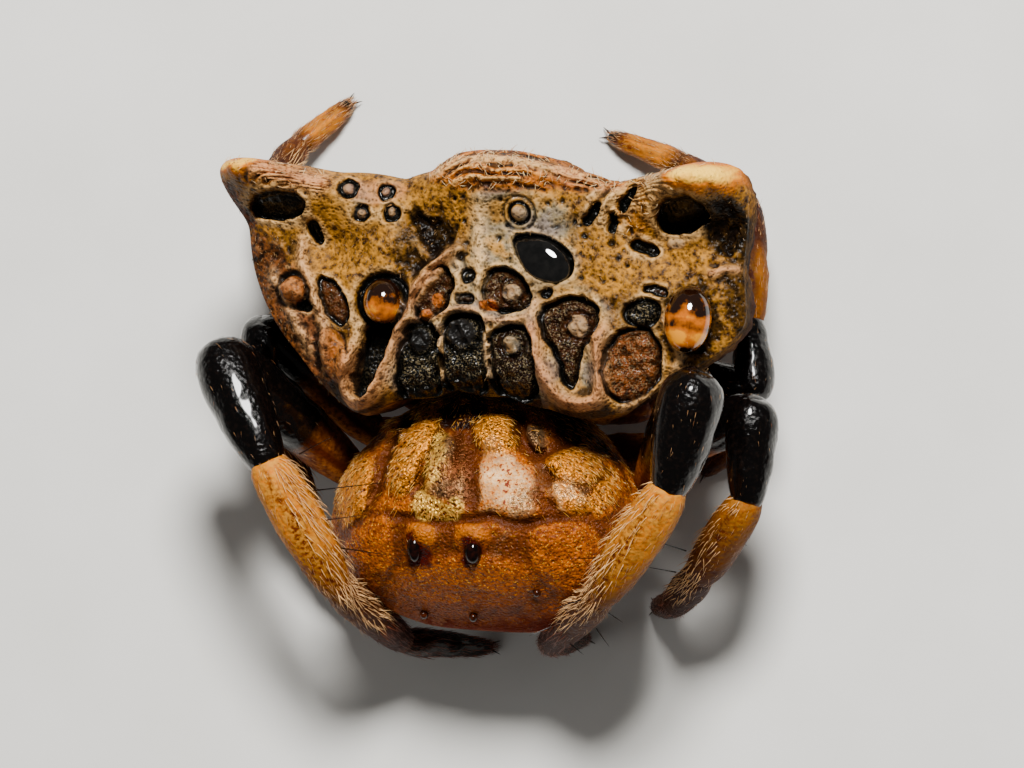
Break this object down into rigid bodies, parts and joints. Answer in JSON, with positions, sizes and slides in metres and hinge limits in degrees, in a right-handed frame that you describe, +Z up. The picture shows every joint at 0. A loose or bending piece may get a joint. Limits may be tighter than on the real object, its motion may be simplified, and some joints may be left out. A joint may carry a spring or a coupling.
{
  "type": "bird-dropping spider",
  "caption": "Crouching bird-dropping spider with a broad, horned and pitted shield-like abdomen and front legs folded before its face, a still display model.",
  "frame": {"origin": "on the ground under the middle of the animal's overall box", "axes": "the animal faces -Y, its left side is +X, +Z is up"},
  "size_m": [0.0089, 0.0088, 0.0058],
  "materials": {
    "abdomen_cuticle": "pale ridged cuticle round dark, wet-looking pits",
    "horn_cuticle": "smooth, waxy, cream tip",
    "carapace_cuticle": "granular orange-brown cuticle with short golden hairs",
    "eye_lens": "polished black",
    "mouth_cuticle": "dark red-brown, satin",
    "leg_cuticle": "glossy black knees and orange-brown lengths with pale hairs"
  },
  "bodies": {
    "root": {"abdomen": "abdomen_cuticle", "horn_l": "horn_cuticle", "horn_r": "horn_cuticle", "prosoma": "carapace_cuticle", "eye_ame_l": "eye_lens", "eye_ame_r": "eye_lens", "eye_ale_l": "eye_lens", "eye_ale_r": "eye_lens", "eye_pme_l": "eye_lens", "eye_pme_r": "eye_lens", "eye_ple_l": "eye_lens", "eye_ple_r": "eye_lens", "chelicera_l": "mouth_cuticle", "chelicera_r": "mouth_cuticle", "pedipalp_l": "mouth_cuticle", "pedipalp_r": "mouth_cuticle", "leg_l1": "leg_cuticle", "leg_l2": "leg_cuticle", "leg_l3": "leg_cuticle", "leg_l4": "leg_cuticle", "leg_r1": "leg_cuticle", "leg_r2": "leg_cuticle", "leg_r3": "leg_cuticle", "leg_r4": "leg_cuticle", "spinnerets": "mouth_cuticle"}
  },
  "joints": []
}
